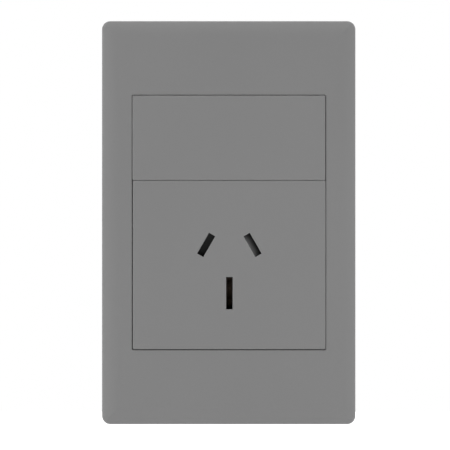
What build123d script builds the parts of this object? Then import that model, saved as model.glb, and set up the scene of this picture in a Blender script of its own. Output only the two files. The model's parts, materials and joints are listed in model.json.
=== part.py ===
from build123d import *
import math
import os

os.makedirs("parts", exist_ok=True)

# Grey wall plate with a three-module opening: a one-module wide rocker switch above a two-module
# three-pin socket with flat pin slots. Millimetres. X to the right, Y into the wall, Z up.
# The wall plane is Y = 0 and the front faces -Y. "f" below is the height in front of the wall (f = -Y).

# ---------------------------------------------------------------- driving dimensions
PLATE_W, PLATE_H, PLATE_F = 75.0, 119.3, 9.0     # decorative plate: width, height, stand-off from the wall
PLATE_R = 2.5                                    # corner radius in front view
PLATE_BAND, PLATE_DROP = 5.0, 1.2                # soft edge: width of the curved band, how far it falls
PLATE_EDGE_R = 0.8                               # small radius at the very rim
PLATE_WALL, PLATE_FRONT = 1.9, 2.6               # side wall and front wall thickness
OPEN_X0, OPEN_X1 = -28.55, 28.7                  # opening for the modules, left and right
OPEN_Z0, OPEN_Z1 = -37.61, 37.72                 # bottom and top
FACE_F = 9.3                                     # module faces stand this far in front of the wall
FACE_BAND, FACE_DROP = 2.2, 0.12                 # very slight crown at the module faces' edges
FACE_EDGE_R = 0.25

FIX_PITCH = 83.5                                 # wall box screw spacing, vertical
FIX_R, FIX_SLOT = 2.15, 5.4                      # fixing slot: half width, end-to-end length

COLLAR_X = 27.1                                  # half width of the module bodies behind the faces
SOCK_Z0, SOCK_Z1 = -37.42, 12.43                 # socket face, bottom and top
SOCK_X0, SOCK_X1 = -28.35, 28.61                 # socket face, left and right
SW_Z0, SW_Z1 = 12.52, 37.575                     # rocker, bottom and top
SW_ZC = (SW_Z0 + SW_Z1) / 2
CAP_X0, CAP_X1 = -28.45, 28.56                   # rocker, left and right

PIN_X, PIN_Z = 0.2, -10.55                       # centre of the pin pattern
PIN_R, PIN_RE = 7.92, 10.31                      # live and neutral, and earth, from that centre
LIVE_X, LIVE_Z = PIN_R * math.sin(math.radians(60)), PIN_Z + PIN_R * math.cos(math.radians(60))
EARTH_Z = PIN_Z - PIN_RE
SLOT_L, SLOT_T = 7.06, 2.1                       # live and neutral slots, long and across
EARTH_L, EARTH_T = 9.55, 1.9                     # earth slot of the 15 A pattern
SLOT_A = 30                                      # live and neutral slots lean by this angle

BASE_X = 23.5                                    # half width of both rear housings
BASE_F = -22.3                                   # rear faces of the housings
STRAP_F0, STRAP_F1 = -12.15, -11.45              # plane of all the brass straps
BORE_R, BORE_X = 2.3, 16.5                       # wire bore in each terminal block
NECK_R, NECK = 3.1, 2.1                          # neck of the switch's terminal blocks
SCREW_F = -16.3                                  # height of the terminal screws
CLAMP_R = 1.5                                    # M3 clamp screw

ROCK_F = 6.9                                     # rocker axis, in front of the wall
BRIDGE_Y = 6.2                                   # knife edge of the moving contact, behind the wall plane
BRIDGE_REST = 6.0                                # contact bridge lean at rest about +Z, degrees

SHUT_TRAVEL = 3.0                                # the shutter slides this far to the left to open
SHUT_F, SHUT_F0 = 8.2, 4.1                       # front and back of the shutter


# ---------------------------------------------------------------- shared shapes
def slab(x0, x1, z0, z1, f0, f1, mode=Mode.ADD, r=0):
    """A block between two heights in front of the wall, with rounded corners in front view if r is given."""
    with BuildSketch(Plane.XZ.offset(f0)) as s:
        with Locations(((x0 + x1) / 2, (z0 + z1) / 2)):
            if r:
                RectangleRounded(x1 - x0, z1 - z0, r)
            else:
                Rectangle(x1 - x0, z1 - z0)
    extrude(s.sketch, amount=f1 - f0, mode=mode)


def turned(x, z, w, h, angle, f0, f1, mode=Mode.ADD):
    """A block with a rectangular section turned in front view."""
    with BuildSketch(Plane.XZ.offset(f0)) as s:
        with Locations((x, z)):
            Rectangle(w, h, rotation=angle)
    extrude(s.sketch, amount=f1 - f0, mode=mode)


def post(x, z, r, f0, f1, mode=Mode.ADD):
    """A round post or hole along Y."""
    with BuildSketch(Plane.XZ.offset(f0)) as s:
        with Locations((x, z)):
            Circle(r)
    extrude(s.sketch, amount=f1 - f0, mode=mode)


def crowned(x0, x1, z0, z1, f0, f1, band, drop, corner, edge_r=0):
    """A block whose front falls away in a shallow arc along all four edges, which can end in a small radius."""
    big = (band * band + drop * drop) / (2 * drop)
    half = math.asin(band / big) / 2
    mx, mf = big * math.sin(half), big * (1 - math.cos(half))

    def profile(a, b):
        Polyline((a, -f1 + drop), (a, -f0), (b, -f0), (b, -f1 + drop))
        ThreePointArc((b, -f1 + drop), (b - band + mx, -f1 + mf), (b - band, -f1))
        Line((b - band, -f1), (a + band, -f1))
        ThreePointArc((a + band, -f1), (a + band - mx, -f1 + mf), (a, -f1 + drop))

    with BuildSketch(Plane.XY.offset(z0)) as across:
        with BuildLine():
            profile(x0, x1)
        make_face()
        if edge_r:
            fillet([v for v in across.vertices() if abs(v.Y + f1 - drop) < 1e-3], edge_r)
    extrude(across.sketch, amount=z1 - z0)
    with BuildSketch(Plane.ZY.offset(-x1)) as along:     # local x is Z, local y is Y, and it faces -X
        with BuildLine():
            profile(z0, z1)
        make_face()
        if edge_r:
            fillet([v for v in along.vertices() if abs(v.Y + f1 - drop) < 1e-3], edge_r)
    extrude(along.sketch, amount=x1 - x0, mode=Mode.INTERSECT)
    slab(x0, x1, z0, z1, f0 - 1, f1 + 1, mode=Mode.INTERSECT, r=corner)


def front_rim(part, f_above):
    """The edges of the front outline: those that lie wholly above that height and don't lie flat inside the face."""
    found = []
    box = part.part.bounding_box()
    for e in part.edges():
        b = e.bounding_box()
        on_side = (
            abs(b.min.X - box.min.X) < 0.02 or abs(b.max.X - box.max.X) < 0.02
            or abs(b.min.Z - box.min.Z) < 0.02 or abs(b.max.Z - box.max.Z) < 0.02
        )
        if on_side and -b.max.Y > f_above:
            found.append(e)
    return found


def terminal_block(x, z, neck=0.0):
    """Brass pillar with a wire bore along Y, a tapped hole from its outer side and two staking studs.
    A neck carries the bore on to the rear, through the wall of the housing."""
    s = 1 if x > 0 else -1
    xa, xb = sorted((s * 13.2, s * 21.0))
    slab(xa, xb, z - 4.0, z + 4.0, STRAP_F0 - 8.25, STRAP_F0, r=0.4)
    if neck:
        post(x, z, NECK_R, STRAP_F0 - 8.25 - neck, STRAP_F0 - 8)
    post(x, z, BORE_R, STRAP_F0 - 9 - neck, STRAP_F0 + 1, mode=Mode.SUBTRACT)
    with Locations(Location((s * 20.0, -SCREW_F, z), (0, 90, 0))):
        Cylinder(CLAMP_R, 4.0, mode=Mode.SUBTRACT)
    for dz in (-2.9, 2.9):
        post(s * 19.9, z + dz, 0.6, STRAP_F0, STRAP_F1)
        post(s * 19.9, z + dz, 0.95, STRAP_F1, STRAP_F1 + 0.3)


def strap_end(x, z):
    """The end of a strap that lies on its terminal block, with holes for the studs."""
    s = 1 if x > 0 else -1
    xa, xb = sorted((s * 13.2, s * 21.0))
    slab(xa, xb, z - 4.0, z + 4.0, STRAP_F0, STRAP_F1)
    for dz in (-2.9, 2.9):
        post(s * 19.9, z + dz, 0.62, STRAP_F0 - 1, STRAP_F1 + 1, mode=Mode.SUBTRACT)


def clamp_screw(s, z):
    """M3 slotted cheese-head screw from the outer side, backed off so that the wire bore is clear."""
    with Locations(Location((s * (18.95 + 21.4) / 2, -SCREW_F, z), (0, 90, 0))):
        Cylinder(CLAMP_R - 0.02, 21.4 - 18.95)
    with Locations(Location((s * 22.2, -SCREW_F, z), (0, 90, 0))):
        Cylinder(2.6, 1.6)
    with Locations((s * 22.75, -SCREW_F, z)):
        Box(0.9, 6.0, 0.8, mode=Mode.SUBTRACT)


def case_screw(x, z, f_head, f_tip):
    """Pan-head self-tapping screw, head to the rear, with a cross recess."""
    post(x, z, 1.2, f_head, f_tip - 0.8)
    with Locations(Location((x, -(f_tip - 0.4), z), (90, 0, 0))):
        Cone(1.2, 0.35, 0.8)
    post(x, z, 2.2, f_head - 1.5, f_head)
    for w, h in ((2.6, 0.6), (0.6, 2.6)):
        slab(x - w / 2, x + w / 2, z - h / 2, z + h / 2, f_head - 1.5, f_head - 0.6, mode=Mode.SUBTRACT)


def latch(z, s, f0=1.0, f1=3.1, out=0.95):
    """A snap wedge on a module's side, between two slits that leave it springy."""
    with BuildSketch(Plane.XY.offset(z - 3.5)) as w:
        with BuildLine():
            Polyline((s * (COLLAR_X - 0.2), -f0), (s * (COLLAR_X - 0.2), -f1), (s * (COLLAR_X + out), -f1),
                     (s * (COLLAR_X + out), -f1 + 0.4), (s * COLLAR_X, -f0), (s * (COLLAR_X - 0.2), -f0))
        make_face()
    extrude(w.sketch, amount=7.0)
    for dz in (-4.3, 4.3):
        slab(*sorted((s * (COLLAR_X - 1.8), s * (COLLAR_X + 0.3))), z + dz - 0.35, z + dz + 0.35, 0.2, 4.0, mode=Mode.SUBTRACT)


# ---------------------------------------------------------------- 1. decorative cover plate
with BuildPart() as cover_plate:
    crowned(-PLATE_W / 2, PLATE_W / 2, -PLATE_H / 2, PLATE_H / 2, 0, PLATE_F, PLATE_BAND, PLATE_DROP, PLATE_R)
    fillet(front_rim(cover_plate, PLATE_F - PLATE_DROP - 0.3), PLATE_EDGE_R)
    slab(-PLATE_W / 2 + PLATE_WALL, PLATE_W / 2 - PLATE_WALL, -PLATE_H / 2 + PLATE_WALL, PLATE_H / 2 - PLATE_WALL,
         -1, PLATE_F - PLATE_FRONT, mode=Mode.SUBTRACT, r=1.0)
    # stiffening collar behind the opening, and ribs above and below it
    slab(OPEN_X0 - 1.5, OPEN_X1 + 1.5, OPEN_Z0 - 1.4, OPEN_Z1 + 1.4, 4.9, PLATE_F - PLATE_FRONT)
    for x in (-22, -8, 8, 22):
        for s in (-1, 1):
            z0, z1 = sorted((s * (OPEN_Z1 + 1.0), s * (PLATE_H / 2 - PLATE_WALL + 0.2)))
            slab(x - 0.5, x + 0.5, z0, z1, 4.9, PLATE_F - PLATE_FRONT)
    slab(OPEN_X0, OPEN_X1, OPEN_Z0, OPEN_Z1, 3, PLATE_F + 1, mode=Mode.SUBTRACT, r=0.4)
    rim = [e for e in cover_plate.edges().filter_by(lambda e: abs(e.bounding_box().min.Y + PLATE_F) < 1e-3 and abs(e.bounding_box().max.Y + PLATE_F) < 1e-3)
           if abs(e.center().X) < OPEN_X1 + 0.1 and abs(e.center().Z) < OPEN_Z1 + 0.1]
    fillet(rim, 0.22)
    # four spring legs that snap under the mounting frame's bumps
    for s in (-1, 1):
        for z in (-28, 28):
            with BuildSketch(Plane.XY.offset(z - 3.5)) as leg:
                with BuildLine():
                    Polyline((s * 33.3, -6.6), (s * 34.6, -6.6), (s * 34.6, -1.5), (s * 33.6, -1.0), (s * 32.75, -2.3),
                             (s * 32.75, -2.8), (s * 33.3, -2.8), (s * 33.3, -6.6))
                make_face()
            extrude(leg.sketch, amount=7.0)
    # slot in the bottom edge for the blade that lifts the plate off
    slab(-4, 4, -PLATE_H / 2 - 1, -PLATE_H / 2 + PLATE_WALL + 0.5, -1, 1.5, mode=Mode.SUBTRACT)

# ---------------------------------------------------------------- 2. mounting frame
with BuildPart() as mounting_frame:
    slab(-32.6, 32.6, -56, 56, 0, 4.3, r=3.0)
    slab(-31.2, 31.2, -54.6, 54.6, 1.8, 5, mode=Mode.SUBTRACT, r=2.0)
    slab(-28.6, 28.6, -37.8, 37.8, 0, 4.6, r=0.6)
    for x in (-24, -11, 11, 24):
        for s in (-1, 1):
            z0, z1 = sorted((s * 37.5, s * 54.8))
            slab(x - 0.6, x + 0.6, z0, z1, 1.0, 4.0)
    for z in (-18, 0, 18):
        for s in (-1, 1):
            x0, x1 = sorted((s * 28.4, s * 31.4))
            slab(x0, x1, z - 0.6, z + 0.6, 1.0, 4.0)
    slab(-27.2, 27.2, -36.5, 36.5, -1, 6, mode=Mode.SUBTRACT, r=0.5)
    # fixing slots on the wall box's screw centres
    for s in (-1, 1):
        with BuildSketch(Plane.XZ.offset(-1)) as fix:
            with Locations((0, s * FIX_PITCH / 2)):
                SlotOverall(FIX_SLOT, 2 * FIX_R, rotation=90)
        extrude(fix.sketch, amount=4, mode=Mode.SUBTRACT)
    # windows that the modules' wedges snap into
    for s in (-1, 1):
        for z in (-23.0, -1.5, SW_ZC):
            x0, x1 = sorted((s * 27.0, s * 28.9))
            slab(x0, x1, z - 4.0, z + 4.0, 0.8, 3.35, mode=Mode.SUBTRACT)
    # bumps for the cover plate's legs
    for s in (-1, 1):
        for z in (-28, 28):
            x0, x1 = sorted((s * 32.4, s * 33.15))
            slab(x0, x1, z - 4.5, z + 4.5, 2.95, 4.3)
    # arrow that shows which end goes up
    with BuildSketch(Plane.XZ.offset(1.8)) as arrow:
        with Locations((17.5, 46)):
            Triangle(c=5, a=5, b=5, align=(Align.CENTER, Align.CENTER))
    extrude(arrow.sketch, amount=0.4)

# ---------------------------------------------------------------- 3. socket face
with BuildPart() as socket_face:
    crowned(SOCK_X0, SOCK_X1, SOCK_Z0, SOCK_Z1, 4.7, FACE_F, FACE_BAND, FACE_DROP, 0.4, FACE_EDGE_R)
    slab(-COLLAR_X, COLLAR_X, -36.4, 12.3, 0.5, 4.8, r=0.6)
    # rebate along the top, which the switch frame's lip reaches into, so that no light shows between the modules
    slab(-29, 29, 11.95, 13, 4.6, 6.45, mode=Mode.SUBTRACT)
    slab(-25.6, 25.6, -34.9, 10.8, -1, 7.1, mode=Mode.SUBTRACT, r=0.8)
    # shroud of the earth slot, guides of the shutter and the abutment of its spring
    slab(PIN_X - 2.6, PIN_X + 2.6, EARTH_Z - 6.2, EARTH_Z + 6.2, 4.75, 7.2)
    slab(PIN_X - 2.5, PIN_X + 2.5, EARTH_Z - 5.0, EARTH_Z + 5.0, 2.85, 4.8)
    slab(-18, 18, -1.0, 0.0, 4.75, 7.2)
    slab(-18, 18, -13.2, -12.2, 4.75, 7.2)
    slab(-21.5, -20.1, -9.2, -4.0, 4.75, 7.2)
    # the wall is thinner where the shutter slides, so that the shutter sits close behind the slots
    slab(-18, 18, -12.2, -1.0, 7.0, SHUT_F + 0.1, mode=Mode.SUBTRACT)
    # pin slots
    turned(PIN_X - LIVE_X, LIVE_Z, SLOT_T, SLOT_L, -SLOT_A, 2, 11, mode=Mode.SUBTRACT)
    turned(PIN_X + LIVE_X, LIVE_Z, SLOT_T, SLOT_L, SLOT_A, 2, 11, mode=Mode.SUBTRACT)
    turned(PIN_X, EARTH_Z, EARTH_T, EARTH_L, 0, 2, 11, mode=Mode.SUBTRACT)
    lip = [e for e in socket_face.edges().filter_by(lambda e: abs(e.bounding_box().min.Y + FACE_F) < 1e-3 and abs(e.bounding_box().max.Y + FACE_F) < 1e-3)
           if abs(e.center().X) < 12 and -28 < e.center().Z < 0]
    chamfer(lip, 0.12)
    # screw posts
    for x in (-19.5, 19.5):
        for z in (5.6, -30.6):
            post(x, z, 2.5, 1.6, 7.2)
            post(x, z, 1.22, 0, 6.4, mode=Mode.SUBTRACT)
    for s in (-1, 1):
        for z in (-23.0, -1.5):
            latch(z, s)

# ---------------------------------------------------------------- 4. socket base
with BuildPart() as socket_base:
    slab(-BASE_X, BASE_X, -34.5, 9.5, BASE_F, 4.6, r=1.2)
    fillet(socket_base.faces().sort_by(Axis.Y)[-1].edges(), 0.6)
    slab(-25.4, 25.4, -34.7, 10.6, 2.8, 4.6, r=0.7)
    slab(-15.5, 15.0, -12.5, -0.7, SHUT_F0 - 0.2, 5, mode=Mode.SUBTRACT)      # room for the shutter
    # pockets for the three contacts, the channels of their straps, and the terminal blocks
    for s, z in ((-1, LIVE_Z), (1, LIVE_Z)):
        turned(PIN_X + s * LIVE_X, z, 5.4, 8.2, s * SLOT_A, STRAP_F0 - 0.05, 6, mode=Mode.SUBTRACT)
    slab(PIN_X - 2.7, PIN_X + 2.7, EARTH_Z - 5.2, EARTH_Z + 5.2, STRAP_F0 - 0.05, 6, mode=Mode.SUBTRACT)
    for s, z, inner in ((-1, LIVE_Z, LIVE_X - PIN_X), (1, LIVE_Z, LIVE_X + PIN_X), (-1, EARTH_Z, -PIN_X)):
        x0, x1 = sorted((s * 21.2, s * inner))
        slab(x0, x1, z - 2.7, z + 2.7, STRAP_F0 - 0.05, 6, mode=Mode.SUBTRACT)
        x0, x1 = sorted((s * 21.2, s * 13.0))
        slab(x0, x1, z - 4.2, z + 4.2, STRAP_F0 - 8.4, 6, mode=Mode.SUBTRACT)
        post(s * BORE_X, z, 2.7, BASE_F - 1, STRAP_F0, mode=Mode.SUBTRACT)
        with Locations(Location((s * 22.5, -SCREW_F, z), (0, 90, 0))):
            Cylinder(2.95, 3.0, mode=Mode.SUBTRACT)
        # raised ring round each wire entry
        with BuildSketch(Plane.XZ.offset(BASE_F - 0.4)) as ring:
            with Locations((s * BORE_X, z)):
                Circle(3.5)
                Circle(2.7, mode=Mode.SUBTRACT)
        extrude(ring.sketch, amount=0.5)
    for x in (-19.5, 19.5):
        for z in (5.6, -30.6):
            post(x, z, 2.8, 1.3, 6, mode=Mode.SUBTRACT)
            post(x, z, 1.4, BASE_F - 1, 2, mode=Mode.SUBTRACT)
            post(x, z, 2.6, BASE_F - 1, -1.0, mode=Mode.SUBTRACT)
    # shallow relief panels on the rear
    slab(-8, 8, -31.5, -12.0, BASE_F - 0.1, BASE_F + 0.6, mode=Mode.SUBTRACT, r=1.0)
    slab(-8, 8, -9.5, 6.5, BASE_F - 0.1, BASE_F + 0.6, mode=Mode.SUBTRACT, r=1.0)
    # raised terminal letters and the earth sign, read from behind
    with BuildSketch(Plane((0, -BASE_F, 0), x_dir=(-1, 0, 0), z_dir=(0, 1, 0))) as marks:
        with Locations((BORE_X - 0.8, LIVE_Z + 7.2)):
            Rectangle(0.45, 3.0)
        with Locations((BORE_X + 0.0, LIVE_Z + 5.93)):
            Rectangle(2.0, 0.45)
        with Locations((-BORE_X - 0.9, LIVE_Z + 7.2), (-BORE_X + 0.9, LIVE_Z + 7.2)):
            Rectangle(0.45, 3.0)
        with Locations((-BORE_X, LIVE_Z + 7.2)):
            Rectangle(0.45, 3.35, rotation=31)
        with Locations((BORE_X, EARTH_Z + 7.4)):
            Rectangle(0.4, 1.4)
        with Locations((BORE_X, EARTH_Z + 6.7)):
            Rectangle(2.6, 0.4)
        with Locations((BORE_X, EARTH_Z + 6.0)):
            Rectangle(1.7, 0.4)
        with Locations((BORE_X, EARTH_Z + 5.3)):
            Rectangle(0.8, 0.4)
    extrude(marks.sketch, amount=0.3)

# ---------------------------------------------------------------- 5. sliding shutter, shown closed
with BuildPart() as shutter:
    slab(-12.0, 14.5, -12.0, -1.2, SHUT_F0, SHUT_F)
    for s in (-1, 1):
        turned(PIN_X + s * LIVE_X + SHUT_TRAVEL, LIVE_Z, 2.6, 7.7, s * SLOT_A, SHUT_F0 - 1, SHUT_F + 1, mode=Mode.SUBTRACT)
        a = math.radians(SLOT_A)
        # the pin pushes on a slope that deepens to the right in the right slot, and on a step in a deep well in the left one
        ramp_plane = Plane((PIN_X + s * LIVE_X, -SHUT_F, LIVE_Z), x_dir=(math.cos(a), 0, s * math.sin(a)), z_dir=(s * math.sin(a), 0, -math.cos(a)))
        start, end = (0.05, 2.9) if s > 0 else (3.4, 3.4)
        with BuildSketch(ramp_plane.offset(-4.4)) as ramp:
            with BuildLine():
                # local y points out of the face, so depth is negative
                Polyline((-1.3, 0.5), (1.45, 0.5), (1.45, -end), (-1.3, -start), (-1.3, 0.5))
            make_face()
        extrude(ramp.sketch, amount=8.6, mode=Mode.SUBTRACT)
    with Locations(Location((-12.4, -5.9, -6.6), (0, 90, 0))):
        Cylinder(0.62, 1.0)

# ---------------------------------------------------------------- 6. shutter spring
with BuildPart() as shutter_spring:
    with BuildLine(mode=Mode.PRIVATE) as coil:
        Helix(pitch=0.94, height=7.6, radius=0.84, center=(-12.22, -5.9, -6.6), direction=(-1, 0, 0))
    with BuildSketch(Plane(coil.line @ 0, z_dir=coil.line % 0)) as wire:
        Circle(0.16)
    sweep(wire.sketch, path=coil.line, is_frenet=True)


# ---------------------------------------------------------------- 7-9. pin contacts with their straps
def clip(x, z, angle, width):
    """Two leaves that close on a flat pin and are joined behind it."""
    a = math.radians(angle)
    along = Vector(-math.sin(a), 0, math.cos(a))
    plane = Plane((x, 0, z), x_dir=(math.cos(a), 0, math.sin(a)), z_dir=along)
    with BuildSketch(plane.offset(-width / 2)) as s:
        with BuildLine() as path:
            FilletPolyline((1.95, -2.6), (1.05, 0.3), (1.8, 5.5), (1.8, 11.8), (-1.8, 11.8), (-1.8, 5.5), (-1.05, 0.3), (-1.95, -2.6), radius=0.6)
        trace(line_width=0.7)
    extrude(s.sketch, amount=width)


with BuildPart() as live_contact:
    clip(PIN_X - LIVE_X, LIVE_Z, -SLOT_A, 6.0)
    slab(-14, PIN_X - LIVE_X - 0.6, LIVE_Z - 2.5, LIVE_Z + 2.5, STRAP_F0, STRAP_F1)
    strap_end(-BORE_X, LIVE_Z)

with BuildPart() as neutral_contact:
    clip(PIN_X + LIVE_X, LIVE_Z, SLOT_A, 6.0)
    slab(PIN_X + LIVE_X + 0.6, 14, LIVE_Z - 2.5, LIVE_Z + 2.5, STRAP_F0, STRAP_F1)
    strap_end(BORE_X, LIVE_Z)

with BuildPart() as earth_contact:
    clip(PIN_X, EARTH_Z, 0, 8.6)
    slab(-14, PIN_X, EARTH_Z - 2.5, EARTH_Z + 2.5, STRAP_F0, STRAP_F1)
    strap_end(-BORE_X, EARTH_Z)

# ---------------------------------------------------------------- 10-12. terminal blocks of the socket
with BuildPart() as live_terminal:
    terminal_block(-BORE_X, LIVE_Z)
with BuildPart() as neutral_terminal:
    terminal_block(BORE_X, LIVE_Z)
with BuildPart() as earth_terminal:
    terminal_block(-BORE_X, EARTH_Z)

# ---------------------------------------------------------------- 13-14. screws of the socket
with BuildPart() as socket_terminal_screws:
    clamp_screw(-1, LIVE_Z)
    clamp_screw(1, LIVE_Z)
    clamp_screw(-1, EARTH_Z)
with BuildPart() as socket_case_screws:
    for x in (-19.5, 19.5):
        for z in (5.6, -30.6):
            case_screw(x, z, -1.0, 6.2)

# ---------------------------------------------------------------- 15. switch frame
with BuildPart() as switch_frame:
    slab(-28.3, 28.3, 12.62, 37.5, 4.7, 6.2, r=0.4)
    slab(-28.3, 28.3, 12.05, 13.2, 4.85, 6.2)
    slab(-COLLAR_X, COLLAR_X, 12.7, 36.4, 0.5, 4.8, r=0.6)
    slab(-25.6, 25.6, 14.2, 34.9, -1, 8, mode=Mode.SUBTRACT, r=0.6)
    # corner webs and posts for the case screws
    for sx in (-1, 1):
        for z, zz in ((SW_ZC - 7.4, (14.0, 20.6)), (SW_ZC + 7.4, (29.5, 35.1))):
            x0, x1 = sorted((sx * 16.5, sx * 25.8))
            slab(x0, x1, *zz, 4.0, 5.2)
            post(sx * 19.5, z, 2.3, 1.2, 4.5)
            post(sx * 19.5, z, 1.22, 0, 4.7, mode=Mode.SUBTRACT)
    # bearings of the rocker: open towards the front, a little more than half round
    for z0, z1 in ((14.0, 15.4), (34.7, 36.1)):
        with BuildSketch(Plane.XY.offset(z0)) as ear:
            with BuildLine():
                Polyline((-4.4, -2.5), (-3.0, -7.6), (3.0, -7.6), (4.4, -2.5), (-4.4, -2.5))
            make_face()
            with Locations((0, -ROCK_F)):
                Circle(1.55, mode=Mode.SUBTRACT)
        extrude(ear.sketch, amount=z1 - z0)
    for z0, z1 in ((13.5, 14.35), (35.75, 36.6)):
        slab(-5, 5, z0, z1, 6.2, 8, mode=Mode.SUBTRACT)
    with Locations((0, -ROCK_F, SW_ZC)):
        Cylinder(1.55, 21.5, mode=Mode.SUBTRACT)
    for s in (-1, 1):
        latch(SW_ZC, s)

# ---------------------------------------------------------------- 16. switch base
with BuildPart() as switch_base:
    slab(-BASE_X, BASE_X, 14.5, 35.5, BASE_F, 0.2, r=1.2)
    fillet(switch_base.faces().sort_by(Axis.Y)[-1].edges(), 0.6)
    slab(-BASE_X, BASE_X, 14.5, 34.6, 0, 2.3, r=1.0)
    slab(-25.4, 25.4, 14.35, 34.75, 0.9, 2.3, r=0.7)
    slab(-15.5, 13.5, SW_ZC - 3.6, SW_ZC + 3.6, STRAP_F0 - 0.05, 4, mode=Mode.SUBTRACT)
    for s in (-1, 1):
        x0, x1 = sorted((s * 21.2, s * 13.0))
        slab(x0, x1, SW_ZC - 4.2, SW_ZC + 4.2, STRAP_F0 - 8.4, 4, mode=Mode.SUBTRACT)
        post(s * BORE_X, SW_ZC, NECK_R + 0.1, BASE_F - 1, STRAP_F0, mode=Mode.SUBTRACT)
        with Locations(Location((s * 22.5, -SCREW_F, SW_ZC), (0, 90, 0))):
            Cylinder(2.95, 3.0, mode=Mode.SUBTRACT)
        with BuildSketch(Plane.XZ.offset(BASE_F - 0.4)) as ring:
            with Locations((s * BORE_X, SW_ZC)):
                Circle(3.9)
                Circle(NECK_R + 0.1, mode=Mode.SUBTRACT)
        extrude(ring.sketch, amount=0.5)
        for z in (SW_ZC - 7.4, SW_ZC + 7.4):
            post(s * 19.5, z, 2.6, 0.9, 4, mode=Mode.SUBTRACT)
            post(s * 19.5, z, 1.4, BASE_F - 1, 2, mode=Mode.SUBTRACT)
            post(s * 19.5, z, 2.35, BASE_F - 1, -1.6, mode=Mode.SUBTRACT)
        # side ledges that stop the contact bridge in its open position
        z0, z1 = sorted((SW_ZC + s * 2.7, SW_ZC + s * 3.7))
        slab(6.8, 9.2, z0, z1, STRAP_F0 - 0.05, -7.02)
    slab(-8, 8, SW_ZC - 7.5, SW_ZC + 7.5, BASE_F - 0.1, BASE_F + 0.6, mode=Mode.SUBTRACT, r=1.0)

# ---------------------------------------------------------------- 17. rocker key, level at rest
with BuildPart() as rocker_key:
    crowned(CAP_X0, CAP_X1, SW_Z0, SW_Z1, 7.5, FACE_F, FACE_BAND, FACE_DROP, 0.4, FACE_EDGE_R)
    slab(-26.9, 26.9, SW_ZC - 10.9, SW_ZC + 10.9, 7, 8.0, mode=Mode.SUBTRACT, r=0.5)
    for s in (-1, 1):
        for zc in (SW_ZC - 6, SW_ZC + 6):
            with BuildSketch(Plane.XY.offset(zc - 1.8)) as hook:
                with BuildLine():
                    Polyline((s * 13.6, -8.2), (s * 14.6, -8.2), (s * 14.6, -6.8), (s * 15.05, -6.8), (s * 14.6, -6.1), (s * 13.6, -6.1), (s * 13.6, -8.2))
                make_face()
            extrude(hook.sketch, amount=3.6)

# ---------------------------------------------------------------- 18. rocker carrier with its trunnions and plunger tube
with BuildPart() as rocker_carrier:
    slab(-18, 18, SW_ZC - 9.35, SW_ZC + 9.35, 6.9, 8.0, r=1.0)
    with Locations((0, -ROCK_F, SW_ZC)):
        Cylinder(1.5, 21.3)
    slab(-3, 3, 10, 40, 8.0, 10, mode=Mode.SUBTRACT)
    post(0, SW_ZC, 3.2, -1.5, 7.5)
    for x0, x1, z0, z1 in ((-12, 12, SW_ZC - 0.5, SW_ZC + 0.5), (-0.5, 0.5, SW_ZC - 8.5, SW_ZC + 8.5)):
        slab(x0, x1, z0, z1, 5.6, 7.2)
    post(0, SW_ZC, 2.0, -2, 6.9, mode=Mode.SUBTRACT)
    for s in (-1, 1):
        for zc in (SW_ZC - 6, SW_ZC + 6):
            x0, x1 = sorted((s * 13.45, s * 14.7))
            slab(x0, x1, zc - 1.95, zc + 1.95, 5, 9, mode=Mode.SUBTRACT)

# ---------------------------------------------------------------- 19-20. plunger and its spring
with BuildPart() as plunger:
    with BuildSketch(Plane.XY.offset(SW_ZC)) as half:
        with BuildLine():
            Polyline((0, -2.0), (1.7, -2.0), (1.9, -1.8), (1.9, 2.3), (1.3, 2.7), (1.3, 3.68))
            ThreePointArc((1.3, 3.68), (1.3 * math.sin(math.radians(45)), 3.68 + 1.3 * math.cos(math.radians(45))), (0, 4.98))
            Line((0, 4.98), (0, -2.0))
        make_face()
    revolve(half.sketch, axis=Axis((0, 0, SW_ZC), (0, 1, 0)))
with BuildPart() as plunger_spring:
    with BuildLine(mode=Mode.PRIVATE) as coil:
        Helix(pitch=0.88, height=4.4, radius=1.5, center=(0, -6.65, SW_ZC), direction=(0, 1, 0))
    with BuildSketch(Plane(coil.line @ 0, z_dir=coil.line % 0)) as wire:
        Circle(0.2)
    sweep(wire.sketch, path=coil.line, is_frenet=True)

# ---------------------------------------------------------------- 21-22. contact bridge and its silver contact
with BuildPart() as contact_bridge:
    with BuildSketch(Plane.XY.offset(SW_ZC - 2.5)) as strip:
        with Locations((-2.35, 5.725)):
            Rectangle(21.7, 0.65)
        with Locations((0, BRIDGE_Y)):
            Circle(1.2)
            Circle(0.55, mode=Mode.SUBTRACT)
        with Locations((0, BRIDGE_Y + 1.0)):
            Rectangle(4, 2.3, mode=Mode.SUBTRACT)
    extrude(strip.sketch, amount=5.0)
    with Locations((7.75, 5.725, SW_ZC)):
        Box(1.5, 0.65, 6.7)
    post(-11.5, SW_ZC, 0.82, -8, -4, mode=Mode.SUBTRACT)
with BuildPart() as moving_contact:
    post(-11.5, SW_ZC, 0.8, -6.05, -5.3)
    post(-11.5, SW_ZC, 1.25, -5.4, -5.0)
    post(-11.5, SW_ZC, 1.7, -6.75, -6.05)

# ---------------------------------------------------------------- 23. fixed silver contact, square to the bridge when closed
on = math.radians(-BRIDGE_REST)
mx, my = -11.5, 0.55
face_x = mx * math.cos(on) - my * math.sin(on)
face_y = BRIDGE_Y + mx * math.sin(on) + my * math.cos(on)
nx, ny = -math.sin(on), math.cos(on)
fx, fy = face_x + 0.03 * nx, face_y + 0.03 * ny
contact_plane = Plane((fx, fy, SW_ZC), x_dir=(0, 0, 1), z_dir=(nx, ny, 0))
with BuildPart() as fixed_contact:
    with BuildSketch(contact_plane) as disc:
        Circle(1.7)
    extrude(disc.sketch, amount=0.8)

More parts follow.
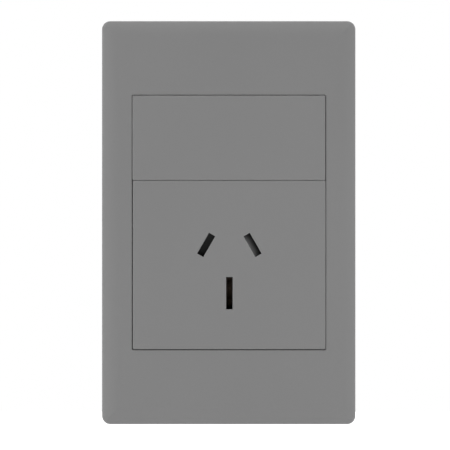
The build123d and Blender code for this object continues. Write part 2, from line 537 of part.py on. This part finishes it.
# ---------------------------------------------------------------- 24-27. switch terminals
tx, ty = fx + 1.15 * nx, fy + 1.15 * ny
with BuildPart() as load_terminal_strip:
    with BuildSketch(Plane.XY.offset(SW_ZC - 2.5)) as s:
        with BuildLine() as path:
            FilletPolyline((tx - 2.6 * ny, ty + 2.6 * nx), (-8.4, ty - (tx + 8.4) * -nx / ny), (-8.4, 11.8), (-14.0, 11.8), radius=0.5)
        trace(line_width=0.7)
    extrude(s.sketch, amount=5.0)
    strap_end(-BORE_X, SW_ZC)
with BuildPart() as common_terminal_strip:
    with BuildSketch(Plane.XY.offset(SW_ZC - 2.3)) as s:
        with Locations((0, BRIDGE_Y)):
            Circle(0.5)
        with Locations((0, (BRIDGE_Y + 12.0) / 2)):
            Rectangle(1.0, 12.0 - BRIDGE_Y)
    extrude(s.sketch, amount=4.6)
    slab(-0.5, 14.0, SW_ZC - 2.5, SW_ZC + 2.5, STRAP_F0, STRAP_F1)
    strap_end(BORE_X, SW_ZC)
with BuildPart() as load_terminal:
    terminal_block(-BORE_X, SW_ZC, NECK)
with BuildPart() as common_terminal:
    terminal_block(BORE_X, SW_ZC, NECK)

# ---------------------------------------------------------------- 28-29. screws of the switch
with BuildPart() as switch_terminal_screws:
    clamp_screw(-1, SW_ZC)
    clamp_screw(1, SW_ZC)
with BuildPart() as switch_case_screws:
    for x in (-19.5, 19.5):
        for z in (SW_ZC - 7.4, SW_ZC + 7.4):
            case_screw(x, z, -1.6, 4.5)

# ---------------------------------------------------------------- write every piece in its rest position
bridge_axis = Axis((0, BRIDGE_Y, 0), (0, 0, 1))
still = {
    "cover_plate": cover_plate, "mounting_frame": mounting_frame, "socket_face": socket_face, "socket_base": socket_base,
    "shutter": shutter, "shutter_spring": shutter_spring, "live_contact": live_contact, "neutral_contact": neutral_contact,
    "earth_contact": earth_contact, "live_terminal": live_terminal, "neutral_terminal": neutral_terminal,
    "earth_terminal": earth_terminal, "socket_terminal_screws": socket_terminal_screws,
    "socket_case_screws": socket_case_screws, "switch_frame": switch_frame, "switch_base": switch_base,
    "rocker_key": rocker_key, "rocker_carrier": rocker_carrier, "plunger": plunger, "plunger_spring": plunger_spring,
    "fixed_contact": fixed_contact, "load_terminal_strip": load_terminal_strip,
    "common_terminal_strip": common_terminal_strip, "load_terminal": load_terminal, "common_terminal": common_terminal,
    "switch_terminal_screws": switch_terminal_screws, "switch_case_screws": switch_case_screws,
}
# the contact bridge rests open, leaning by BRIDGE_REST about its knife edge
leaning = {"contact_bridge": contact_bridge, "moving_contact": moving_contact}
for name, piece in still.items():
    piece.part.label = name
    export_step(piece.part, f"parts/{name}.step")
for name, piece in leaning.items():
    leant = piece.part.rotate(bridge_axis, BRIDGE_REST)
    leant.label = name
    export_step(leant, f"parts/{name}.step")
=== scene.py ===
import bmesh
import bpy
import json
import math
from mathutils import Matrix, Vector


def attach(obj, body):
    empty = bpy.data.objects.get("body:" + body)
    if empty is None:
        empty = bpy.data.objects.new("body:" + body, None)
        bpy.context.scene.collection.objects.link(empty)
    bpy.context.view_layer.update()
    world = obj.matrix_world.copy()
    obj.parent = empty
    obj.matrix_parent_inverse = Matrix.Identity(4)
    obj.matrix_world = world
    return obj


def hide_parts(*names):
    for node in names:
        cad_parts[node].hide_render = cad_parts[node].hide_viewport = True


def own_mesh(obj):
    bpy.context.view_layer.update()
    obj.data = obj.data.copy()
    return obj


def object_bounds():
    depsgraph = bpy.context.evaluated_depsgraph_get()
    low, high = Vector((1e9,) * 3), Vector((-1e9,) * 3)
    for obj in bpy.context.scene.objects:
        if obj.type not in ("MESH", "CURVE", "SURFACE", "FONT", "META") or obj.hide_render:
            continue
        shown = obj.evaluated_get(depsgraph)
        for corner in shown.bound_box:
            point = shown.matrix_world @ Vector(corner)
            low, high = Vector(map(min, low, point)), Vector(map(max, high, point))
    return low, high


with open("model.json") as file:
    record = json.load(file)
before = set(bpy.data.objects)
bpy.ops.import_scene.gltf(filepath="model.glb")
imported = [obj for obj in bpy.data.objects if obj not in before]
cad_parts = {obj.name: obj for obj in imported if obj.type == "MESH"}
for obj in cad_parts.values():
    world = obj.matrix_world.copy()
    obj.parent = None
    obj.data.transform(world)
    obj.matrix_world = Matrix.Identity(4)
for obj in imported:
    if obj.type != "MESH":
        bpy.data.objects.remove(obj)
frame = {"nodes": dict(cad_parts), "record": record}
nodes = frame["nodes"]
cad_box = [list(v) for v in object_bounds()]
scene = bpy.context.scene


# ---------------------------------------------------------------- node helpers
class Tree:
    """A small helper that adds nodes to one material and links them."""

    def __init__(self, name):
        self.material = bpy.data.materials.new(name)
        self.material.use_nodes = True
        self.tree = self.material.node_tree
        self.bsdf = next(n for n in self.tree.nodes if n.type == "BSDF_PRINCIPLED")
        self.coords = self.add("ShaderNodeTexCoord")

    def add(self, kind, **inputs):
        node = self.tree.nodes.new(kind)
        for key, value in inputs.items():
            node.inputs[key.replace("_", " ")].default_value = value
        return node

    def link(self, a, b):
        self.tree.links.new(a, b)

    def noise(self, scale, detail=3.0, rough=0.5, stretch=(1, 1, 1)):
        mapping = self.add("ShaderNodeMapping")
        mapping.inputs["Scale"].default_value = stretch
        self.link(self.coords.outputs["Object"], mapping.inputs["Vector"])
        n = self.add("ShaderNodeTexNoise", Scale=scale, Detail=detail, Roughness=rough)
        self.link(mapping.outputs["Vector"], n.inputs["Vector"])
        return n.outputs["Fac"]

    def ramp(self, value, stops):
        r = self.add("ShaderNodeValToRGB")
        e = r.color_ramp.elements
        while len(e) > len(stops):
            e.remove(e[-1])
        while len(e) < len(stops):
            e.new(0.5)
        for slot, (place, colour) in zip(e, stops):
            slot.position = place
            slot.color = (*colour, 1) if hasattr(colour, "__len__") else (colour, colour, colour, 1)
        self.link(value, r.inputs["Fac"])
        return r.outputs["Color"]

    def spread(self, value, low, high):
        m = self.add("ShaderNodeMapRange", To_Min=low, To_Max=high)
        self.link(value, m.inputs["Value"])
        return m.outputs["Result"]

    def mix(self, how, factor, a, b):
        m = self.add("ShaderNodeMix")
        m.data_type = "RGBA"
        m.blend_type = how
        if isinstance(factor, (int, float)):
            m.inputs["Factor"].default_value = factor
        else:
            self.link(factor, m.inputs["Factor"])
        for side, x in (("A", a), ("B", b)):
            socket = next(s for s in m.inputs if s.name == side and s.type == "RGBA")
            if hasattr(x, "links") or hasattr(x, "is_output"):
                self.link(x, socket)
            else:
                socket.default_value = (*x, 1)
        return next(s for s in m.outputs if s.type == "RGBA")

    def total(self, a, b, how="ADD"):
        m = self.add("ShaderNodeMath")
        m.operation = how
        for i, x in enumerate((a, b)):
            if isinstance(x, (int, float)):
                m.inputs[i].default_value = x
            else:
                self.link(x, m.inputs[i])
        return m.outputs["Value"]

    def edges(self, radius=0.00025, low=0.02, high=0.22):
        """White along edges, where the surface turns within that radius."""
        rounded = self.add("ShaderNodeBevel", Radius=radius)
        rounded.samples = 4
        g = self.add("ShaderNodeNewGeometry")
        turn = self.add("ShaderNodeVectorMath")
        turn.operation = "DOT_PRODUCT"
        self.link(rounded.outputs["Normal"], turn.inputs[0])
        self.link(g.outputs["Normal"], turn.inputs[1])
        m = self.add("ShaderNodeMapRange", From_Min=1.0 - low, From_Max=1.0 - high)
        self.link(turn.outputs["Value"], m.inputs["Value"])
        return m.outputs["Result"]

    def bump(self, height, distance, strength=1.0, under=None):
        b = self.add("ShaderNodeBump", Distance=distance, Strength=strength)
        self.link(height, b.inputs["Height"])
        if under is not None:
            self.link(under, b.inputs["Normal"])
        return b.outputs["Normal"]

    def finish(self, colour, rough, normal=None):
        self.link(colour, self.bsdf.inputs["Base Color"])
        self.link(rough, self.bsdf.inputs["Roughness"])
        if normal is not None:
            self.link(normal, self.bsdf.inputs["Normal"])
        return self.material


def moulded(name, colour, rough=(0.5, 0.62), grain=0.00003, mottling=0.03, specular=0.35, wear=0.05, grain_scale=5200.0):
    """Moulded thermoplastic: spark-eroded grain, faint flow mottling, edges rubbed a little smoother and lighter."""
    t = Tree(name)
    dark = tuple(c * (1 - mottling) for c in colour)
    light = tuple(min(1.0, c * (1 + mottling)) for c in colour)
    base = t.ramp(t.noise(38.0, 2.0, 0.45, (1.0, 1.0, 0.7)), [(0.25, dark), (0.75, light)])
    speck = t.ramp(t.noise(2600.0, 1.0, 0.5), [(0.3, 0.94), (0.7, 1.0)])
    base = t.mix("MULTIPLY", 0.35, base, speck)
    rub = t.edges()
    base = t.mix("SCREEN", t.spread(rub, 0.0, wear), base, (0.55, 0.55, 0.55))
    gloss = t.spread(t.noise(300.0, 4.0, 0.6), *rough)
    gloss = t.total(gloss, t.spread(rub, 0.0, -0.08))
    fine = t.bump(t.noise(grain_scale, 2.0, 0.6), grain, 0.6)
    wave = t.bump(t.noise(70.0, 1.0, 0.3), 0.00004, 0.25, fine)
    t.bsdf.inputs["Specular IOR Level"].default_value = specular
    return t.finish(base, gloss, wave)


def scuffed_and_lit(name, colour, worn_and_lit):
    """Dark shutter plastic, near black partly as painted shade in the slots. The slope that the pins push on, which
    faces right, is painted pale: partly a real rub from the pins, partly painted light at its edge nearest the front,
    fading to painted shade deeper in and towards the top end.
    """
    t = Tree(name)
    base = t.ramp(t.noise(40.0, 2.0, 0.45), [(0.25, tuple(c * 0.95 for c in colour)), (0.75, tuple(c * 1.05 for c in colour))])
    g = t.add("ShaderNodeNewGeometry")
    axes = t.add("ShaderNodeSeparateXYZ")
    t.link(g.outputs["True Normal"], axes.inputs["Vector"])
    slope = t.add("ShaderNodeMapRange", From_Min=0.3, From_Max=0.45)
    t.link(axes.outputs["X"], slope.inputs["Value"])
    wall = t.add("ShaderNodeMapRange", From_Min=0.8, From_Max=0.85, To_Min=1.0, To_Max=0.0)
    t.link(axes.outputs["X"], wall.inputs["Value"])
    place = t.add("ShaderNodeSeparateXYZ")
    t.link(t.coords.outputs["Object"], place.inputs["Vector"])
    # painted light and shade: the pale rub is full nearest the front and fades to painted shade deeper in the slot
    painted_light_near_front = t.add("ShaderNodeMapRange", From_Min=-0.0056, From_Max=-0.0082)
    t.link(place.outputs["Y"], painted_light_near_front.inputs["Value"])
    # painted shadow: the pale rub fades towards the slot's top end, where the end wall shades it
    painted_top_end_shade = t.add("ShaderNodeMapRange", From_Min=-0.0034, From_Max=-0.005, To_Min=0.12)
    t.link(place.outputs["Z"], painted_top_end_shade.inputs["Value"])
    streaks = t.spread(t.noise(900.0, 3.0, 0.6, (1, 1, 0.25)), 0.75, 1.05)
    scuff_and_light_mask = t.total(t.total(slope.outputs["Result"], wall.outputs["Result"], "MULTIPLY"), streaks, "MULTIPLY")
    scuff_and_light_mask = t.total(scuff_and_light_mask, t.total(painted_light_near_front.outputs["Result"], painted_top_end_shade.outputs["Result"], "MULTIPLY"), "MULTIPLY")
    # the pale colour on the slope is partly a real rub from the pins, partly painted light
    base = t.mix("MIX", scuff_and_light_mask, base, worn_and_lit)
    fine = t.bump(t.noise(5200.0, 2.0, 0.6), 0.00002, 0.6)
    return t.finish(base, t.spread(t.noise(300.0, 4.0, 0.6), 0.5, 0.62), fine)


def worked_metal(name, colour, tarnish, rough=(0.22, 0.4), lines=(1, 1, 1), line_scale=900.0, depth=0.00002):
    """Rolled, turned or plated metal with fine tool lines, blotchy tarnish and bright edges."""
    t = Tree(name)
    blotch = t.noise(420.0, 5.0, 0.62)
    base = t.ramp(blotch, [(0.32, tarnish), (0.62, colour)])
    tooling = t.noise(line_scale, 2.0, 0.5, lines)
    base = t.mix("MULTIPLY", 0.35, base, t.ramp(tooling, [(0.3, 0.82), (0.7, 1.0)]))
    rub = t.edges(0.0002)
    bright = tuple(min(1.0, c * 1.15 + 0.03) for c in colour)
    base = t.mix("MIX", t.spread(rub, 0.0, 0.5), base, bright)
    gloss = t.total(t.spread(blotch, rough[1], rough[0]), t.spread(tooling, -0.05, 0.05))
    t.bsdf.inputs["Metallic"].default_value = 1.0
    return t.finish(base, gloss, t.bump(tooling, depth, 0.5))


# ---------------------------------------------------------------- materials, one per slot of the record
GREY = (0.172, 0.172, 0.172)
looks = {
    "face_plastic": moulded("face_plastic_look", GREY, (0.5, 0.6), 0.00002, 0.012, 0.4, 0.03),
    "frame_plastic": moulded("frame_plastic_look", (0.165, 0.165, 0.17), (0.38, 0.5), 0.00002, 0.04, 0.45, 0.08, 3800.0),
    "base_plastic": moulded("base_plastic_look", (0.043, 0.044, 0.048), (0.36, 0.56), 0.00005, 0.14, 0.45, 0.12, 2200.0),
    "carrier_plastic": moulded("carrier_plastic_look", (0.6, 0.59, 0.54), (0.28, 0.4), 0.00001, 0.03, 0.5, 0.08),
    "plunger_plastic": moulded("plunger_plastic_look", (0.68, 0.67, 0.62), (0.25, 0.36), 0.00001, 0.03, 0.5, 0.08),
    # shutter plastic painted near black, partly as painted shade in the slots; its pale slope colour is partly painted
    # light
    "shutter_plastic": scuffed_and_lit("shutter_plastic_scuffed_and_lit_look", (0.024, 0.024, 0.024), (0.33, 0.33, 0.33)),
    # contact bronze and its tarnish painted far darker than the metal is, as painted shade for the dark inside the
    # slots
    "contact_bronze": worked_metal("contact_bronze_painted_dark_look", (0.17, 0.13, 0.1), (0.055, 0.042, 0.034), (0.34, 0.5), (1, 14, 1)),
    "terminal_brass": worked_metal("terminal_brass_look", (0.8, 0.61, 0.32), (0.55, 0.38, 0.17), (0.2, 0.36), (1, 1, 12)),
    "strip_brass": worked_metal("strip_brass_look", (0.52, 0.37, 0.18), (0.3, 0.19, 0.085), (0.28, 0.44), (1, 12, 1)),
    "contact_silver": worked_metal("contact_silver_look", (0.9, 0.89, 0.87), (0.6, 0.58, 0.55), (0.16, 0.3), (1, 1, 1), 1500.0),
    "terminal_screw_steel": worked_metal("terminal_screw_steel_look", (0.46, 0.46, 0.44), (0.25, 0.25, 0.225), (0.26, 0.42), (10, 1, 1), 1400.0),
    "case_screw_steel": worked_metal("case_screw_steel_look", (0.5, 0.5, 0.48), (0.28, 0.28, 0.255), (0.26, 0.42), (1, 10, 1), 1400.0),
    "spring_steel": worked_metal("spring_steel_look", (0.62, 0.62, 0.62), (0.38, 0.37, 0.35), (0.2, 0.32), (1, 1, 1), 2200.0),
}
slot_of = {s["node"]: s["material_slot"] for s in frame["record"]["subparts"]}
for name, obj in nodes.items():
    for s in obj.material_slots:
        s.material = looks[slot_of[name]]

# ---------------------------------------------------------------- screws with real threads, in place of the plain ones
def turned_screw(profile, thread, columns):
    """A closed screw along +Z from (radius, height) rings, head at the top. thread: root, crest, pitch, from and to heights."""
    root, crest, pitch, low, high = thread
    rings = []
    for (ra, za), (rb, zb) in zip(profile, profile[1:]):
        steps = max(1, int(abs(zb - za) / (pitch / 12))) if low - 1e-9 <= min(za, zb) and max(za, zb) <= high + 1e-9 else 1
        rings += [(ra + (rb - ra) * i / steps, za + (zb - za) * i / steps) for i in range(steps)]
    rings.append(profile[-1])
    verts, faces = [], []
    for r, z in rings:
        for j in range(columns):
            turn = j / columns
            radius = r
            if low < z < high and r <= crest + 1e-9:
                phase = (z / pitch - turn) % 1.0
                ridge = max(0.0, 1.0 - abs(phase - 0.5) / 0.36)
                ease = min(1.0, (z - low) / pitch, (high - z) / (pitch * 0.6))
                radius = min(r, root) + (min(r, crest) - min(r, root)) * min(1.0, ridge * 1.15) * ease
            verts.append((radius * math.cos(2 * math.pi * turn), radius * math.sin(2 * math.pi * turn), z))
    for i in range(len(rings) - 1):
        for j in range(columns):
            k = (j + 1) % columns
            faces.append((i * columns + j, i * columns + k, (i + 1) * columns + k, (i + 1) * columns + j))
    faces.append(tuple(reversed(range(columns))))
    faces.append(tuple(range((len(rings) - 1) * columns, len(rings) * columns)))
    return verts, faces


def wedge(half_long, half_wide, bottom_long, bottom_wide, z0, z1):
    """A cutter that narrows towards its bottom."""
    v = [(sx * (bottom_long if z == z0 else half_long), sy * (bottom_wide if z == z0 else half_wide), z)
         for z in (z0, z1) for sx, sy in ((-1, -1), (1, -1), (1, 1), (-1, 1))]
    f = [(3, 2, 1, 0), (4, 5, 6, 7), (0, 1, 5, 4), (1, 2, 6, 5), (2, 3, 7, 6), (3, 0, 4, 7)]
    return v, f


def as_object(name, verts, faces):
    m = bpy.data.meshes.new(name)
    m.from_pydata([tuple(c / 1000 for c in v) for v in verts], [], faces)
    m.validate()
    o = bpy.data.objects.new(name, m)
    scene.collection.objects.link(o)
    return o


def cut(obj, cutters):
    """Cuts the recess of a head and keeps the result as the object's own mesh."""
    for c in cutters:
        mod = obj.modifiers.new("cut", "BOOLEAN")
        mod.operation, mod.solver, mod.object = "DIFFERENCE", "EXACT", c
    bpy.context.view_layer.update()
    whole = bpy.data.meshes.new_from_object(obj.evaluated_get(bpy.context.evaluated_depsgraph_get()))
    obj.modifiers.clear()
    obj.data = whole
    for c in cutters:
        bpy.data.objects.remove(c)


def screws(name, node, verts, faces, recess, places):
    """One screw cut to shape, then set at every place: (origin, direction of the head, twist)."""
    model = as_object(name + "_model", verts, faces)
    cut(model, [as_object("cutter%d" % i, *r) for i, r in enumerate(recess)])
    joined = bmesh.new()
    for place, head, twist in places:
        one = bmesh.new()
        one.from_mesh(model.data)
        spin = Vector(head).to_track_quat("Z", "Y").to_matrix().to_4x4()
        bmesh.ops.transform(one, matrix=Matrix.Translation(Vector(place) / 1000) @ spin @ Matrix.Rotation(twist, 4, "Z"), verts=one.verts)
        scratch = bpy.data.meshes.new("scratch")
        one.to_mesh(scratch)
        joined.from_mesh(scratch)
        one.free()
        bpy.data.meshes.remove(scratch)
    bpy.data.objects.remove(model)
    bmesh.ops.remove_doubles(joined, verts=joined.verts, dist=1e-6)
    bmesh.ops.dissolve_degenerate(joined, dist=1e-7, edges=joined.edges)
    mesh = bpy.data.meshes.new(name)
    joined.to_mesh(mesh)
    joined.free()
    for poly in mesh.polygons:
        poly.use_smooth = True
    mesh.set_sharp_from_angle(angle=math.radians(58))
    piece = bpy.data.objects.new(name, mesh)
    scene.collection.objects.link(piece)
    mesh.materials.append(looks[slot_of[node]])
    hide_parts(node)
    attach(piece, "housing")
    return piece


def arc(radius, z, r, start, end, n=5):
    """Points of a small rounding, degrees from the radial direction upwards."""
    return [(radius + r * math.cos(math.radians(start + (end - start) * i / n)), z + r * math.sin(math.radians(start + (end - start) * i / n))) for i in range(n + 1)]


live_z, earth_z, switch_z, side_y = -6.59, -20.86, 25.0475, 16.3
# M3 cheese head, 1.6 mm high, slotted; heights run from the tip
cheese = [(0.95, 0.0), (1.22, 0.27), (1.48, 0.4), (1.48, 2.2), (1.3, 2.3), (1.3, 2.45), (2.45, 2.45)] + arc(2.5, 2.55, 0.1, -90, 0) + arc(2.35, 3.8, 0.25, 0, 90) + [(1.2, 4.05)]
v, f = turned_screw(cheese, (1.18, 1.48, 0.5, 0.2, 2.25), 56)
slot_cut = wedge(3.5, 0.4, 3.5, 0.4, 3.35, 4.5)
terminal = lambda side, z: ((side * 18.95, side_y, z), (side, 0, 0))
screws("socket_terminal_screws_threaded", "socket_terminal_screws", v, f, [slot_cut],
       [(*terminal(-1, live_z), 0.35), (*terminal(1, live_z), -0.6), (*terminal(-1, earth_z), 1.1)])
screws("switch_terminal_screws_threaded", "switch_terminal_screws", v, f, [slot_cut],
       [(*terminal(-1, switch_z), -0.25), (*terminal(1, switch_z), 0.8)])
# self-tapping pan heads with a cross recess, coarse thread and a tapered tip
for name, node, tip, head, places in (
    ("socket_case_screws_threaded", "socket_case_screws", 6.2, -1.0, ((-19.5, 5.6), (19.5, 5.6), (-19.5, -30.6), (19.5, -30.6))),
    ("switch_case_screws_threaded", "switch_case_screws", 4.5, -1.6, tuple((x, switch_z + d) for x in (-19.5, 19.5) for d in (-7.4, 7.4))),
):
    long = tip - head
    pan = [(0.3, 0.0), (0.75, 0.4), (1.18, 1.1), (1.2, 1.3), (1.2, long - 0.25), (1.2, long), (2.1, long)] + arc(2.1, long + 0.1, 0.1, -90, 0) \
        + [(2.2, long + 0.6)] + [(2.2 * math.cos(math.radians(a)) * 0.999, long + 0.6 + 0.9 * math.sin(math.radians(a))) for a in (15, 30, 45, 60, 75)] + [(0.25, long + 1.5)]
    v, f = turned_screw(pan, (0.86, 1.2, 1.0, 0.05, long - 0.1), 44)
    cross = [wedge(1.35, 0.3, 0.7, 0.2, long + 0.55, long + 1.7), wedge(0.3, 1.35, 0.2, 0.7, long + 0.55, long + 1.7)]
    screws(name, node, v, f, cross, [((x, -tip, z), (0, 1, 0), 0.4 + 1.3 * i) for i, (x, z) in enumerate(places)])

# ---------------------------------------------------------------- springs with closed ends
def spring(name, node, body, start, direction, length, radius, wire, turns):
    """A compression spring from start along direction: one closed turn at each end, wire centres length apart."""
    axis = Vector(direction)
    across = axis.orthogonal().normalized()
    up = axis.cross(across)
    dead = wire * 2.06
    steps, sides = 28, 10
    total = turns * steps
    centres = []
    for i in range(total + 1):
        turn = i / steps
        if turn < 1:
            along = dead * turn
        elif turn > turns - 1:
            along = length - dead * (turns - turn)
        else:
            along = dead + (length - 2 * dead) * (turn - 1) / (turns - 2)
        a = 2 * math.pi * turn
        centres.append((Vector(start) + axis * along, across * math.cos(a) + up * math.sin(a)))
    verts, faces = [], []
    for i, (c, out) in enumerate(centres):
        ahead = (centres[min(i + 1, total)][0] + centres[min(i + 1, total)][1] * radius) - (centres[max(i - 1, 0)][0] + centres[max(i - 1, 0)][1] * radius)
        side = ahead.normalized().cross(out).normalized()
        middle = c + out * radius
        for k in range(sides):
            b = 2 * math.pi * k / sides
            verts.append(tuple(middle + out * (wire * math.cos(b)) + side * (wire * math.sin(b))))
    for i in range(total):
        for k in range(sides):
            n = (k + 1) % sides
            faces.append((i * sides + k, i * sides + n, (i + 1) * sides + n, (i + 1) * sides + k))
    faces.append(tuple(reversed(range(sides))))
    faces.append(tuple(range(total * sides, (total + 1) * sides)))
    piece = as_object(name, verts, faces)
    fresh = bmesh.new()
    fresh.from_mesh(piece.data)
    bmesh.ops.recalc_face_normals(fresh, faces=fresh.faces)
    fresh.to_mesh(piece.data)
    fresh.free()
    for poly in piece.data.polygons:
        poly.use_smooth = len(poly.vertices) == 4
    piece.data.materials.append(looks[slot_of[node]])
    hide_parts(node)
    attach(piece, body)
    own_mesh(piece)
    return piece


# the shutter presses its spring towards the fixed end, the plunger presses its own up into the carrier
spring("shutter_spring_coil", "shutter_spring", "housing", (-12.22, -5.9, -6.6), (-1, 0, 0), 7.6, 0.84, 0.16, 9)
spring("plunger_spring_coil", "plunger_spring", "rocker", (0, -2.25, switch_z), (0, -1, 0), 4.4, 1.5, 0.2, 6)

# ---------------------------------------------------------------- floor, light and camera
bottom = cad_box[0][2] - 0.00005
mesh = bpy.data.meshes.new("floor")
size, rear_edge = 2.5, 0.06
mesh.from_pydata([(-size, -size, bottom), (size, -size, bottom), (size, rear_edge, bottom), (-size, rear_edge, bottom)], [], [(0, 1, 2, 3)])
floor = bpy.data.objects.new("floor", mesh)
scene.collection.objects.link(floor)
t = Tree("floor_look")
tone = t.ramp(t.noise(3.0, 3.0), [(0.3, (0.25, 0.25, 0.25)), (0.7, (0.27, 0.27, 0.27))])
t.bsdf.inputs["Emission Color"].default_value = (1, 1, 1, 1)
t.bsdf.inputs["Emission Strength"].default_value = 1.1
t.bsdf.inputs["Specular IOR Level"].default_value = 0.0
floor.data.materials.append(t.finish(tone, t.spread(t.noise(20.0), 0.85, 0.95)))

world = bpy.data.worlds.new("studio")
scene.world = world
world.use_nodes = True
wt = world.node_tree
seen = next(n for n in wt.nodes if n.type == "BACKGROUND")
seen.inputs["Color"].default_value = (1.0, 1.0, 1.0, 1)
seen.inputs["Strength"].default_value = 1.0
output = next(n for n in wt.nodes if n.type == "OUTPUT_WORLD")
# a light tent: bright walls to the sides, a little brighter at the left and above, and dim on the photographer's side
TENT, DIM, BACK, LEFT, TOP = 4.38, 0.01, 0.22, 0.13, -0.1
direction = wt.nodes.new("ShaderNodeTexCoord")
parts = wt.nodes.new("ShaderNodeSeparateXYZ")
wt.links.new(direction.outputs["Generated"], parts.inputs["Vector"])


def sum_of(a, b, how="ADD"):
    m = wt.nodes.new("ShaderNodeMath")
    m.operation = how
    for i, x in enumerate((a, b)):
        if isinstance(x, (int, float)):
            m.inputs[i].default_value = x
        else:
            wt.links.new(x, m.inputs[i])
    return m.outputs["Value"]


front = wt.nodes.new("ShaderNodeMapRange")
front.interpolation_type = "SMOOTHSTEP"
front.inputs["From Min"].default_value = -0.72
front.inputs["From Max"].default_value = -0.3
front.inputs["To Min"].default_value = DIM
front.inputs["To Max"].default_value = TENT
wt.links.new(parts.outputs["Y"], front.inputs["Value"])
tilt = sum_of(sum_of(parts.outputs["X"], -LEFT, "MULTIPLY"), sum_of(parts.outputs["Z"], TOP, "MULTIPLY"))
rear = wt.nodes.new("ShaderNodeMapRange")
rear.interpolation_type = "SMOOTHSTEP"
rear.inputs["From Min"].default_value = -0.3
rear.inputs["From Max"].default_value = 0.25
rear.inputs["To Min"].default_value = 1.0
rear.inputs["To Max"].default_value = BACK
wt.links.new(parts.outputs["Y"], rear.inputs["Value"])
strength = sum_of(sum_of(front.outputs["Result"], rear.outputs["Result"], "MULTIPLY"), sum_of(tilt, 1.0), "MULTIPLY")
tent = wt.nodes.new("ShaderNodeBackground")
wt.links.new(strength, tent.inputs["Strength"])
rays = wt.nodes.new("ShaderNodeLightPath")
choice = wt.nodes.new("ShaderNodeMixShader")
wt.links.new(rays.outputs["Is Camera Ray"], choice.inputs["Fac"])
wt.links.new(tent.outputs["Background"], choice.inputs[1])
wt.links.new(seen.outputs["Background"], choice.inputs[2])
wt.links.new(choice.outputs["Shader"], output.inputs["Surface"])


def softbox(name, place, aim, width, height, power):
    data = bpy.data.lights.new(name, "AREA")
    data.shape = "RECTANGLE"
    data.size, data.size_y = width, height
    data.energy = power
    lamp = bpy.data.objects.new(name, data)
    lamp.location = place
    lamp.rotation_euler = (Vector(aim) - Vector(place)).to_track_quat("-Z", "Y").to_euler()
    scene.collection.objects.link(lamp)
    return lamp


softbox("key", (-0.35, -1.6, 1.7), (0, 0, 0), 1.5, 1.5, 2.7)
softbox("rear_fill", (0.5, 1.7, 1.1), (0, 0, 0), 1.8, 1.8, 25.0)

camera_data = bpy.data.cameras.new("camera")
camera_data.sensor_width = 36.0
camera_data.clip_start, camera_data.clip_end = 0.01, 50
distance = 1.0
# 3.375 pixels per mm at the plate's widest outline, 450 pixels across
view_width = 450 / 3.38 / 1000
camera_data.lens = 36.0 * (distance - 0.0078) / view_width
camera = bpy.data.objects.new("camera", camera_data)
camera.location = (-0.0011, -distance, -0.0007)
camera.rotation_euler = (math.radians(90), 0, 0)
scene.collection.objects.link(camera)
scene.camera = camera

scene.view_settings.view_transform = "Standard"
scene.view_settings.look = "None"
scene.view_settings.exposure = 0.0
scene.view_settings.gamma = 1.0
